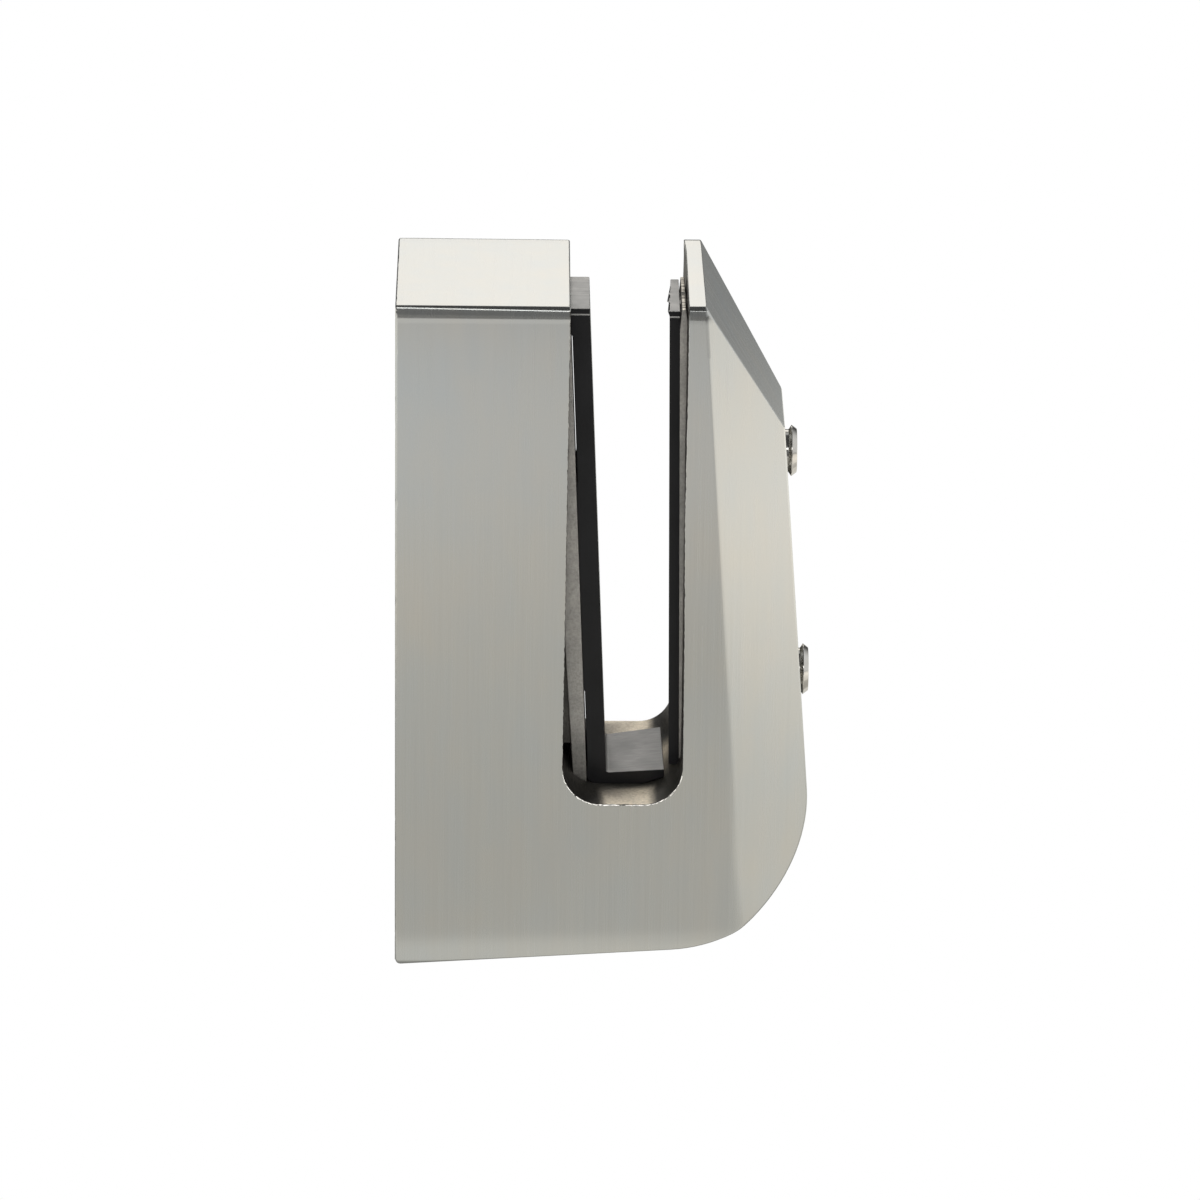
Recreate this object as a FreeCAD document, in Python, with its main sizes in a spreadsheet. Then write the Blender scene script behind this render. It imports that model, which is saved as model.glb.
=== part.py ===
import FreeCAD, Part
import math
import os

import Sketcher

# Side-mounted glass spigot: a stainless casting bolted to a wall edge, which holds a glass panel
# in an upright slot between a rubber liner and a pad that two screws press home.
# Millimetres. X points from the wall face outwards, Y runs along the wall, Z is up.
# The origin is on the wall face, midway between the two wall bolt holes.

doc = FreeCAD.newDocument("glass_spigot")

# Driving dimensions
sheet = doc.addObject("Spreadsheet::Sheet", "sizes")
dimensions = {
    # casting
    "body_width": 50.0,
    "body_height": 165.0,
    "block_depth": 40.3,
    "underside_rise": 3.6,
    "edge_round": 0.8,
    # glass slot
    "slot_width": 27.2,
    "slot_depth": 123.5,
    "slot_taper": 1.5,
    "slot_corner": 9.3,
    # nose
    "nose_tip": 4.0,
    "nose_slope_drop": 33.0,
    "nose_slope_reach": 18.9,
    "end_lean": 4.3,
    "nose_round": 31.0,
    "chamfer_reach": 16.4,
    "chamfer_width": 11.1,
    # wall bolts
    "upper_bolt_drop": 43.7,
    "bolt_spacing": 55.0,
    "bolt_hole": 11.0,
    "bolt_pocket_width": 20.0,
    "back_wall": 9.0,
    # rear backing plate and rubber liner
    "plate_width": 24.0,
    "plate_thickness": 4.0,
    "plate_top_drop": 7.0,
    "plate_toe_length": 32.0,
    "plate_toe_bevel": 1.2,
    "plate_lift": 2.6,
    "land_width": 22.0,
    "rebate_gap": 0.3,
    "liner_width": 24.0,
    "liner_thickness": 4.6,
    "liner_lean": 2.1,
    "liner_setback": 6.0,
    "liner_top_drop": 4.8,
    "liner_heel": 4.0,
    "foot_thickness": 3.7,
    "foot_reach": 18.6,
    "toe_gap": 0.15,
    # pressure plate and front pad
    "pressure_width": 24.0,
    "pressure_thickness": 1.75,
    "pressure_top_drop": 5.0,
    "pressure_bottom_drop": 117.0,
    "pressure_bevel_depth": 0.9,
    "pressure_bevel_length": 2.6,
    "pressure_gap": 0.05,
    "notch_width": 2.6,
    "notch_depth": 4.0,
    "pad_width": 23.2,
    "pad_thickness": 2.1,
    "pad_top_drop": 5.4,
    "pad_bottom_drop": 118.6,
    "pad_bead": 0.3,
    "pad_bead_height": 1.3,
    "peg_gap": 0.15,
    # clamp screws
    "screw_thread": 10.0,
    "screw_gap": 0.05,
    "screw_tip_bevel": 0.8,
    "upper_screw_length": 24.5,
    "lower_screw_length": 28.2,
    "rim_diameter": 12.0,
    "rim_flare": 0.6,
    "rim_land": 0.25,
    "rim_bevel": 0.9,
    "rim_face": 10.4,
    "socket_size": 5.0,
    "socket_depth": 4.5,
    "seat_diameter": 13.0,
    "seat_sink": 2.2,
}
for row, (alias, value) in enumerate(dimensions.items(), start=1):
    sheet.set("A%d" % row, alias)
    sheet.set("B%d" % row, str(value))
    sheet.setAlias("B%d" % row, alias)
doc.recompute()

# Levels and stations that several pieces share, as formulas of the driving dimensions
TOP = "(sizes.upper_bolt_drop + sizes.bolt_spacing / 2)"
BOTTOM = "(%s - sizes.body_height)" % TOP
SLOT_FLOOR = "(%s - sizes.slot_depth)" % TOP
SLOT_FRONT = "(sizes.block_depth + sizes.slot_width)"
SLOT_REAR_FOOT = "(sizes.block_depth - sizes.slot_taper)"
TIP = "(%s + sizes.nose_tip)" % SLOT_FRONT
SHOULDER = "(%s + sizes.nose_slope_reach)" % TIP
SHOULDER_LEVEL = "(%s - sizes.nose_slope_drop)" % TOP
LEAN = "tan(sizes.end_lean * 1 deg)"
RISE = "tan(sizes.underside_rise * 1 deg)"
CORNER_REACH = "(%s + (%s - %s) * %s)" % (SHOULDER, SHOULDER_LEVEL, BOTTOM, LEAN)
CORNER = "(%s / (1 + %s * %s))" % (CORNER_REACH, RISE, LEAN)
CORNER_LEVEL = "(%s + %s * %s)" % (BOTTOM, CORNER, RISE)
UPPER = "(sizes.bolt_spacing / 2)"
LOWER = "(-sizes.bolt_spacing / 2)"
LINER_SLOPE = "tan(sizes.liner_lean * 1 deg)"
LINER_HEEL = "(%s + sizes.liner_setback)" % SLOT_REAR_FOOT
PLATE_SPAN = "(sizes.plate_thickness / cos(sizes.liner_lean * 1 deg))"
PRESSURE_BACK = "(%s - sizes.pressure_gap)" % SLOT_FRONT
PRESSURE_FACE = "(%s - sizes.pressure_thickness)" % PRESSURE_BACK
PAD_FACE = "(%s - sizes.pad_thickness)" % PRESSURE_FACE
HALF_WIDTH = "(sizes.body_width / 2)"
OVERCUT = "(sizes.block_depth / 8)"


def end_face(level):
    """Station of the nose's leaning end face at a level."""
    return "(%s + (%s - %s) * %s)" % (SHOULDER, SHOULDER_LEVEL, level, LEAN)


def liner_back(level):
    """Station of the liner's leaning back face at a level."""
    return "(%s - (%s - %s) * %s)" % (LINER_HEEL, level, SLOT_FLOOR, LINER_SLOPE)


def liner_front(level):
    """Station of the liner's glass face at a level."""
    return "(%s + sizes.liner_thickness / cos(sizes.liner_lean * 1 deg))" % liner_back(level)


def plate_back(level):
    """Station of the backing plate's rear face, and of the rebate that it lies in, at a level."""
    return "(%s - %s)" % (liner_back(level), PLATE_SPAN)


def new_body(label):
    body = doc.addObject("PartDesign::Body", label)
    body.Label = label
    return body


def new_sketch(body, name, role, offset=None):
    """Sketch on one of the body's own origin planes, moved along the plane's normal by a formula."""
    sketch = body.newObject("Sketcher::SketchObject", name)
    plane = [item for item in body.Origin.OriginFeatures if item.Role == role][0]
    sketch.AttachmentSupport = [(plane, "")]
    sketch.MapMode = "FlatFace"
    if offset is not None:
        sketch.setExpression("AttachmentOffset.Base.z", offset)
    return sketch


def fix_point(sketch, geometry, position, across, along):
    """Hold a point at the two formulas, measured from the sketch's origin."""
    for kind, axis, formula in (("DistanceX", -2, across), ("DistanceY", -1, along)):
        if formula == "0":
            sketch.addConstraint(Sketcher.Constraint("PointOnObject", geometry, position, axis))
            continue
        value = float(sketch.evalExpression(formula))
        index = sketch.addConstraint(Sketcher.Constraint(kind, -1, 1, geometry, position, value))
        sketch.setExpression("Constraints[%d]" % index, formula)


def add_polygon(sketch, corners):
    """Closed outline of straight lines through corners given as formulas."""
    first = sketch.GeometryCount
    count = len(corners)
    points = []
    for across, along in corners:
        x = float(sketch.evalExpression(across))
        y = float(sketch.evalExpression(along))
        points.append(FreeCAD.Vector(x, y, 0))
    for index in range(count):
        sketch.addGeometry(Part.LineSegment(points[index], points[(index + 1) % count]), False)
    for index in range(count):
        following = first + (index + 1) % count
        sketch.addConstraint(Sketcher.Constraint("Coincident", first + index, 2, following, 1))
    for index, (across, along) in enumerate(corners):
        fix_point(sketch, first + index, 1, across, along)


def add_circle(sketch, across, along, diameter):
    centre = FreeCAD.Vector(float(sketch.evalExpression(across)), float(sketch.evalExpression(along)), 0)
    value = float(sketch.evalExpression(diameter))
    circle = sketch.addGeometry(Part.Circle(centre, FreeCAD.Vector(0, 0, 1), value / 2), False)
    fix_point(sketch, circle, 3, across, along)
    index = sketch.addConstraint(Sketcher.Constraint("Diameter", circle, value))
    sketch.setExpression("Constraints[%d]" % index, diameter)


def add_obround(sketch, upper, lower, width):
    """Upright slot outline with half-round ends centred on the two levels."""
    radius = float(sketch.evalExpression(width)) / 2
    high = float(sketch.evalExpression(upper))
    low = float(sketch.evalExpression(lower))
    normal = FreeCAD.Vector(0, 0, 1)
    top_arc = Part.Circle(FreeCAD.Vector(0, high, 0), normal, radius)
    low_arc = Part.Circle(FreeCAD.Vector(0, low, 0), normal, radius)
    top = sketch.addGeometry(Part.ArcOfCircle(top_arc, 0, math.pi), False)
    left_line = Part.LineSegment(FreeCAD.Vector(-radius, high, 0), FreeCAD.Vector(-radius, low, 0))
    left = sketch.addGeometry(left_line, False)
    bottom = sketch.addGeometry(Part.ArcOfCircle(low_arc, math.pi, 2 * math.pi), False)
    right_line = Part.LineSegment(FreeCAD.Vector(radius, low, 0), FreeCAD.Vector(radius, high, 0))
    right = sketch.addGeometry(right_line, False)
    ring = [top, left, bottom, right]
    for index, piece in enumerate(ring):
        sketch.addConstraint(Sketcher.Constraint("Tangent", piece, 2, ring[(index + 1) % 4], 1))
    fix_point(sketch, top, 3, "0", upper)
    fix_point(sketch, bottom, 3, "0", lower)
    index = sketch.addConstraint(Sketcher.Constraint("Radius", top, radius))
    sketch.setExpression("Constraints[%d]" % index, "%s / 2" % width)


def add_feature(body, kind, name, sketch, length, symmetric=False, reverse=False):
    """Pad or pocket of a sketch; a cut that removes nothing stops the build."""
    doc.recompute()
    before = body.Shape.Volume if not body.Shape.isNull() else 0.0
    feature = body.newObject("PartDesign::%s" % kind, name)
    feature.Profile = sketch
    feature.SideType = "Symmetric" if symmetric else "One side"
    feature.Reversed = reverse
    feature.setExpression("Length", length)
    doc.recompute()
    after = body.Shape.Volume
    if (kind == "Pad") != (after > before) or after == before:
        raise RuntimeError("%s changed the volume from %.1f to %.1f" % (name, before, after))
    return feature


def add_fillet(body, name, edges, radius):
    """Round the edges, given as numbers in the body's present shape."""
    base = body.Tip
    fillet = body.newObject("PartDesign::Fillet", name)
    fillet.Base = (base, ["Edge%d" % (index + 1) for index in edges])
    fillet.setExpression("Radius", radius)
    doc.recompute()
    return fillet


def edges_where(body, test):
    """Numbers of the edges whose two ends both pass the test."""
    found = []
    for index, edge in enumerate(body.Shape.Edges):
        if all(test(vertex.Point) for vertex in edge.Vertexes):
            found.append(index)
    return found


def near(value, target):
    tolerance = 1e-4
    return abs(value - target) < tolerance


def number(formula):
    return float(sheet.evalExpression(formula))


# Casting: wall block, base and nose in one piece
casting = new_body("spigot_body")
outline = new_sketch(casting, "casting_outline", "XZ_Plane")
add_polygon(outline, [
    ("0", BOTTOM),
    ("0", TOP),
    (TIP, TOP),
    (SHOULDER, SHOULDER_LEVEL),
    (CORNER, CORNER_LEVEL),
])
add_feature(casting, "Pad", "casting_block", outline, "sizes.body_width", symmetric=True)
corner_x = number(CORNER)
corner_edge = edges_where(casting, lambda p: near(p.x, corner_x))
add_fillet(casting, "nose_underside_round", corner_edge, "sizes.nose_round")

# Both sides of the nose are cut back by one sloping flat each, which leans with the end face
chamfers = new_sketch(casting, "nose_side_cuts", "XY_Plane", TOP)
end_at_top = end_face(TOP)
chamfer_rear = "%s - 2 * sizes.chamfer_reach" % end_at_top
chamfer_front = "%s + sizes.chamfer_reach" % end_at_top
for side in ("1", "-1"):
    chamfer_outside = "%s * (%s + sizes.chamfer_width)" % (side, HALF_WIDTH)
    chamfer_inside = "%s * (%s - 2 * sizes.chamfer_width)" % (side, HALF_WIDTH)
    add_polygon(chamfers, [
        (chamfer_rear, chamfer_outside),
        (chamfer_front, chamfer_inside),
        (chamfer_front, chamfer_outside),
    ])
doc.recompute()
whole_volume = casting.Shape.Volume
side_cut = casting.newObject("PartDesign::Pocket", "nose_sides")
side_cut.Profile = chamfers
side_cut.UseCustomVector = True
side_cut.Direction = FreeCAD.Vector(number(LEAN), 0, -1)
side_cut.setExpression("Direction.x", LEAN)
side_cut.AlongSketchNormal = True
side_cut.setExpression("Length", "sizes.body_height + %s" % OVERCUT)
doc.recompute()
if casting.Shape.Volume >= whole_volume:
    raise RuntimeError("the nose's side cuts removed nothing")

# Outer edges are broken by hand polishing, all but those of the wall face
wall_edges = edges_where(casting, lambda p: near(p.x, 0))
outer_edges = [index for index in range(len(casting.Shape.Edges)) if index not in wall_edges]
add_fillet(casting, "polished_edges", outer_edges, "sizes.edge_round")

# Glass slot with a rear wall that falls back a little towards the floor
slot = new_sketch(casting, "glass_slot_outline", "XZ_Plane")
add_polygon(slot, [
    ("sizes.block_depth", "%s + %s" % (TOP, OVERCUT)),
    ("sizes.block_depth", TOP),
    (SLOT_REAR_FOOT, SLOT_FLOOR),
    (SLOT_FRONT, SLOT_FLOOR),
    (SLOT_FRONT, "%s + %s" % (TOP, OVERCUT)),
])
slot_run = "sizes.body_width + 2 * %s" % OVERCUT
add_feature(casting, "Pocket", "glass_slot", slot, slot_run, symmetric=True)
floor_level = number(SLOT_FLOOR)
floor_edges = []
for station in (number(SLOT_REAR_FOOT), number(SLOT_FRONT)):
    floor_edges += edges_where(casting, lambda p: near(p.z, floor_level) and near(p.x, station))
add_fillet(casting, "slot_corners", floor_edges, "sizes.slot_corner")

# Leaning seat of the backing plate: a cast land fills the wedge behind its lower end,
# and a rebate takes its upper end into the slot's rear wall
rebate_top = "(%s - sizes.plate_top_drop + sizes.rebate_gap)" % TOP
land_root = "(sizes.block_depth - %s)" % OVERCUT
land = new_sketch(casting, "land_outline", "XZ_Plane")
add_polygon(land, [
    (land_root, SLOT_FLOOR),
    (plate_back(SLOT_FLOOR), SLOT_FLOOR),
    (plate_back(rebate_top), rebate_top),
    (land_root, rebate_top),
])
add_feature(casting, "Pad", "plate_land", land, "sizes.land_width", symmetric=True)
rebate = new_sketch(casting, "rebate_outline", "XZ_Plane")
add_polygon(rebate, [
    (plate_back(rebate_top), rebate_top),
    (plate_back(SLOT_FLOOR), SLOT_FLOOR),
    ("sizes.block_depth + %s" % OVERCUT, SLOT_FLOOR),
    ("sizes.block_depth + %s" % OVERCUT, rebate_top),
])
rebate_width = "sizes.plate_width + 2 * sizes.rebate_gap"
add_feature(casting, "Pocket", "plate_rebate", rebate, rebate_width, symmetric=True)

# Cored pocket for the heads of the wall bolts, closed by the backing plate
bolt_pocket = new_sketch(casting, "bolt_pocket_outline", "YZ_Plane", "sizes.back_wall")
add_obround(bolt_pocket, UPPER, LOWER, "sizes.bolt_pocket_width")
pocket_run = "%s - sizes.back_wall" % LINER_HEEL
add_feature(casting, "Pocket", "bolt_pocket", bolt_pocket, pocket_run, reverse=True)

bolt_holes = new_sketch(casting, "bolt_hole_outline", "YZ_Plane")
for level in (UPPER, LOWER):
    add_circle(bolt_holes, "0", level, "sizes.bolt_hole")
add_feature(casting, "Pocket", "wall_bolt_holes", bolt_holes, "sizes.back_wall", reverse=True)

# Tapped bores through the nose, in line with the wall bolts, with a sunk seat for each screw head
bores = new_sketch(casting, "screw_bore_outline", "YZ_Plane", "(%s - %s)" % (SLOT_FRONT, OVERCUT))
for level in (UPPER, LOWER):
    add_circle(bores, "0", level, "sizes.screw_thread + 2 * sizes.screw_gap")
bore_run = "%s - %s + 2 * %s" % (CORNER, SLOT_FRONT, OVERCUT)
add_feature(casting, "Pocket", "screw_bores", bores, bore_run, reverse=True)
for name, level in (("upper", UPPER), ("lower", LOWER)):
    seat_floor = "(%s - sizes.seat_sink)" % end_face(level)
    seat = new_sketch(casting, name + "_seat_outline", "YZ_Plane", seat_floor)
    add_circle(seat, "0", level, "sizes.seat_diameter")
    seat_run = "sizes.seat_sink + %s" % OVERCUT
    add_feature(casting, "Pocket", name + "_screw_seat", seat, seat_run, reverse=True)

# Backing plate: flat bar whose rear face is bevelled towards its toe to clear the slot's round corner
plate_top = "(%s - sizes.plate_top_drop)" % TOP
plate_toe = "(%s + sizes.plate_lift)" % SLOT_FLOOR
bevel_start = "(%s + sizes.plate_toe_length)" % plate_toe
backing = new_body("rear_backing_plate")
backing_outline = new_sketch(backing, "backing_outline", "XZ_Plane")
add_polygon(backing_outline, [
    (plate_back(plate_top), plate_top),
    (plate_back(bevel_start), bevel_start),
    ("%s + sizes.plate_toe_bevel" % plate_back(plate_toe), plate_toe),
    (liner_back(plate_toe), plate_toe),
    (liner_back(plate_top), plate_top),
])
add_feature(backing, "Pad", "backing_bar", backing_outline, "sizes.plate_width", symmetric=True)

# Rubber liner: an upright leg behind the glass and a foot under it, moulded as one L
liner_top = "(%s - sizes.liner_top_drop)" % TOP
foot_top = "(%s + sizes.foot_thickness)" % SLOT_FLOOR
foot_end = "(%s + sizes.foot_reach)" % LINER_HEEL
corner_start = "(%s - sizes.slot_corner)" % SLOT_FRONT
toe_start = "min(%s; %s - sizes.foot_thickness)" % (corner_start, foot_end)
past_corner = "max(%s - %s; 0)" % (foot_end, corner_start)
toe_rise = "(sizes.slot_corner - sqrt(sizes.slot_corner^2 - %s^2) + sizes.toe_gap)" % past_corner
liner = new_body("glass_liner")
liner_outline = new_sketch(liner, "liner_outline", "XZ_Plane")
add_polygon(liner_outline, [
    (LINER_HEEL, SLOT_FLOOR),
    (liner_back(liner_top), liner_top),
    (liner_front(liner_top), liner_top),
    (liner_front(foot_top), foot_top),
    (foot_end, foot_top),
    (foot_end, "%s + %s" % (SLOT_FLOOR, toe_rise)),
    (toe_start, SLOT_FLOOR),
])
add_feature(liner, "Pad", "liner_leg_and_foot", liner_outline, "sizes.liner_width", symmetric=True)
heel_x = number(LINER_HEEL)
heel_edge = edges_where(liner, lambda p: near(p.x, heel_x) and near(p.z, floor_level))
add_fillet(liner, "liner_heel_round", heel_edge, "sizes.liner_heel")

# Pressure plate: thin steel bar against the nose, bevelled at both ends and notched for the pad's peg
pressure_top = "(%s - sizes.pressure_top_drop)" % TOP
pressure_bottom = "(%s - sizes.pressure_bottom_drop)" % TOP
pressure = new_body("pressure_plate")
pressure_outline = new_sketch(pressure, "pressure_outline", "XZ_Plane")
add_polygon(pressure_outline, [
    (PRESSURE_FACE, pressure_bottom),
    (PRESSURE_FACE, pressure_top),
    ("%s - sizes.pressure_bevel_depth" % PRESSURE_BACK, pressure_top),
    (PRESSURE_BACK, "%s - sizes.pressure_bevel_length" % pressure_top),
    (PRESSURE_BACK, "%s + sizes.pressure_bevel_length" % pressure_bottom),
    ("%s - sizes.pressure_bevel_depth" % PRESSURE_BACK, pressure_bottom),
])
add_feature(pressure, "Pad", "pressure_bar", pressure_outline, "sizes.pressure_width", symmetric=True)
notch = new_sketch(pressure, "notch_outline", "YZ_Plane", PRESSURE_FACE)
add_polygon(notch, [
    ("-sizes.notch_width / 2", "%s + %s" % (pressure_top, OVERCUT)),
    ("-sizes.notch_width / 2", "%s - sizes.notch_depth" % pressure_top),
    ("sizes.notch_width / 2", "%s - sizes.notch_depth" % pressure_top),
    ("sizes.notch_width / 2", "%s + %s" % (pressure_top, OVERCUT)),
])
add_feature(pressure, "Pocket", "peg_notch", notch, "sizes.pressure_thickness", reverse=True)

# Front pad: rubber strip with a bead along its top edge and a peg that hangs it in the plate's notch
pad_top = "(%s - sizes.pad_top_drop)" % TOP
pad_bottom = "(%s - sizes.pad_bottom_drop)" % TOP
bead_foot = "(%s - sizes.pad_bead_height)" % pad_top
pad = new_body("front_pad")
pad_outline = new_sketch(pad, "pad_outline", "XZ_Plane")
add_polygon(pad_outline, [
    (PAD_FACE, pad_bottom),
    (PAD_FACE, bead_foot),
    ("%s - sizes.pad_bead" % PAD_FACE, bead_foot),
    ("%s - sizes.pad_bead" % PAD_FACE, pad_top),
    (PRESSURE_FACE, pad_top),
    (PRESSURE_FACE, pad_bottom),
])
add_feature(pad, "Pad", "pad_strip", pad_outline, "sizes.pad_width", symmetric=True)
peg = new_sketch(pad, "peg_outline", "YZ_Plane", PRESSURE_FACE)
peg_foot = "(%s - sizes.notch_depth + sizes.peg_gap)" % pressure_top
add_polygon(peg, [
    ("-sizes.notch_width / 2 + sizes.peg_gap", peg_foot),
    ("sizes.notch_width / 2 - sizes.peg_gap", peg_foot),
    ("sizes.notch_width / 2 - sizes.peg_gap", pad_top),
    ("-sizes.notch_width / 2 + sizes.peg_gap", pad_top),
])
peg_length = "sizes.pressure_thickness - sizes.pressure_bevel_depth"
add_feature(pad, "Pad", "locating_peg", peg, peg_length)


def clamp_screw(label, level, length):
    """Socket screw along X: bevelled tip on the pressure plate, threaded shank, thin flared rim."""
    body = new_body(label)
    profile = new_sketch(body, label + "_profile", "XZ_Plane")
    shank = "sizes.screw_thread / 2"
    rim = "sizes.rim_diameter / 2"
    rim_start = "(%s + sizes.rim_flare)" % length
    rim_end = "(%s + sizes.rim_land)" % rim_start
    outer = "(%s + sizes.rim_bevel)" % rim_end
    add_polygon(profile, [
        ("0", "0"),
        ("0", "%s - sizes.screw_tip_bevel" % shank),
        ("sizes.screw_tip_bevel", shank),
        (length, shank),
        (rim_start, rim),
        (rim_end, rim),
        (outer, "sizes.rim_face / 2"),
        (outer, "0"),
    ])
    turned = body.newObject("PartDesign::Revolution", label + "_turned")
    turned.Profile = profile
    turned.ReferenceAxis = (profile, ["H_Axis"])
    turned.Angle = 360
    doc.recompute()
    socket = new_sketch(body, label + "_socket", "YZ_Plane", outer)
    reach = "sizes.socket_size / sqrt(3)"
    corners = []
    for angle in range(30, 390, 60):
        corners.append(("%s * cos(%d deg)" % (reach, angle), "%s * sin(%d deg)" % (reach, angle)))
    add_polygon(socket, corners)
    add_feature(body, "Pocket", label + "_hex", socket, "sizes.socket_depth")
    body.setExpression("Placement.Base.x", PRESSURE_BACK)
    body.setExpression("Placement.Base.z", level)
    return body


upper_screw = clamp_screw("upper_clamp_screw", UPPER, "sizes.upper_screw_length")
lower_screw = clamp_screw("lower_clamp_screw", LOWER, "sizes.lower_screw_length")
doc.recompute()

# Every piece has to be sound before any of them is written
pieces = [casting, backing, liner, pressure, pad, upper_screw, lower_screw]
for item in doc.Objects:
    if "Invalid" in item.State or "Error" in item.State:
        raise RuntimeError("%s failed: %s" % (item.Label, item.State))
for piece in pieces:
    if piece.Shape.isNull() or not piece.Shape.isValid():
        raise RuntimeError("%s is not a sound solid" % piece.Label)

os.makedirs("parts", exist_ok=True)
for piece in pieces:
    piece.Shape.exportStep("parts/%s.step" % piece.Label)
    print("%s: %.0f mm3" % (piece.Label, piece.Shape.Volume))
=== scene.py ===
import math

import bmesh
import bpy
from mathutils import Matrix, Vector, noise as fractal


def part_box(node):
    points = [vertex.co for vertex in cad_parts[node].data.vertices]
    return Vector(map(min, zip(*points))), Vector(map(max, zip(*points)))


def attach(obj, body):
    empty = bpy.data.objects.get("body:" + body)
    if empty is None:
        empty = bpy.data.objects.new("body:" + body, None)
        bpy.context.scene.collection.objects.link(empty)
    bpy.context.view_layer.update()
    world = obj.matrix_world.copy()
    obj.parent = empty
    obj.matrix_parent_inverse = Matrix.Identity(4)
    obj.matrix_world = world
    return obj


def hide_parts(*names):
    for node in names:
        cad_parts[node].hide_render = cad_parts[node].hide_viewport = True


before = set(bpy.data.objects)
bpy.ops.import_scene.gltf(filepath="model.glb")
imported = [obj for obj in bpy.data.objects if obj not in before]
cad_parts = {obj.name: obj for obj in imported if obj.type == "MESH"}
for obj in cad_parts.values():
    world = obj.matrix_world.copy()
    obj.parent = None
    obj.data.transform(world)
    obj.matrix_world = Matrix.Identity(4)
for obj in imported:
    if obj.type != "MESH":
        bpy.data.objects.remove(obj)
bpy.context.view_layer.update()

# Casting: wall block, base and sloped nose, investment cast in stainless steel as one piece.
# Its faces are linished upright, its edges broken by hand, and the slot keeps its rough cast skin.
# The flat back goes against the wall edge, held by two bolts whose heads sit in a cored pocket.
MM = 0.001
cast_low, cast_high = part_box("spigot_body")
half_width = cast_high.y
cast_top = cast_high.z
cast_bottom = cast_low.z
slot_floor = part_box("glass_liner")[0].z
block_depth = 40.3 * MM
slot_front = block_depth + 27.2 * MM
slot_rear_foot = block_depth - 1.05 * MM
slot_corner = 9.3 * MM
nose_tip = slot_front + 4.0 * MM
shoulder = nose_tip + 18.9 * MM
shoulder_level = cast_top - 33.0 * MM
end_lean = math.tan(math.radians(4.3))
underside_rise = math.tan(math.radians(3.6))
nose_round = 34.7 * MM
chamfer_reach = 16.4 * MM
chamfer_width = 11.1 * MM


def bar_from_outline(corners, half):
    """A bar whose outline in X and Z runs through the corners, pushed to both sides of the middle plane."""
    bar = bmesh.new()
    outline = bar.faces.new([bar.verts.new((x, -half, z)) for x, z in corners])
    pushed = bmesh.ops.extrude_face_region(bar, geom=[outline])
    moved = [item for item in pushed["geom"] if isinstance(item, bmesh.types.BMVert)]
    bmesh.ops.translate(bar, verts=moved, vec=(0, 2 * half, 0))
    bmesh.ops.recalc_face_normals(bar, faces=bar.faces)
    return bar


def edges_through(bar, x, z):
    """The edges that run across the bar at one place of its outline."""
    tolerance = 0.01 * MM
    at_place = lambda vert: abs(vert.co.x - x) < tolerance and abs(vert.co.z - z) < tolerance
    return [edge for edge in bar.edges if all(at_place(vert) for vert in edge.verts)]


def round_edges(bar, edges, radius, steps):
    bmesh.ops.bevel(bar, geom=edges, offset=radius, offset_type="OFFSET", segments=steps,
                    profile=0.5, affect="EDGES", material=-1, clamp_overlap=False)


def sharp_edges(bar, angle):
    """Edges whose two faces turn by more than the angle, in degrees."""
    return [edge for edge in bar.edges
            if len(edge.link_faces) == 2 and edge.calc_face_angle(0.0) > math.radians(angle)]


def grind_flat(bar, point, outward):
    """Take away all that lies beyond a plane, and close the cut."""
    whole = bar.verts[:] + bar.edges[:] + bar.faces[:]
    cut = bmesh.ops.bisect_plane(bar, geom=whole, dist=1e-7, plane_co=point, plane_no=outward,
                                 clear_outer=True)
    rim = [item for item in cut["geom_cut"] if isinstance(item, bmesh.types.BMEdge)]
    bmesh.ops.holes_fill(bar, edges=rim)


def score_line(bar, point, normal, within=None):
    """Divide the faces along a plane without taking anything away; within picks faces by their middle."""
    faces = [face for face in bar.faces if within is None or within(face.calc_center_median())]
    chosen = dict.fromkeys(item for face in faces for item in (face, *face.edges, *face.verts))
    bmesh.ops.bisect_plane(bar, geom=list(chosen), dist=1e-7, plane_co=point, plane_no=normal)


corner = (shoulder + (shoulder_level - cast_bottom) * end_lean) / (1 + underside_rise * end_lean)
corner_level = cast_bottom + corner * underside_rise
casting_shape = bar_from_outline([
    (0, cast_bottom),
    (0, cast_top),
    (block_depth, cast_top),
    (slot_rear_foot, slot_floor),
    (slot_front, slot_floor),
    (slot_front, cast_top),
    (nose_tip, cast_top),
    (shoulder, shoulder_level),
    (corner, corner_level),
], half_width)
round_edges(casting_shape, edges_through(casting_shape, corner, corner_level), nose_round, 28)
for foot in (slot_rear_foot, slot_front):
    round_edges(casting_shape, edges_through(casting_shape, foot, slot_floor), slot_corner, 12)

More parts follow.
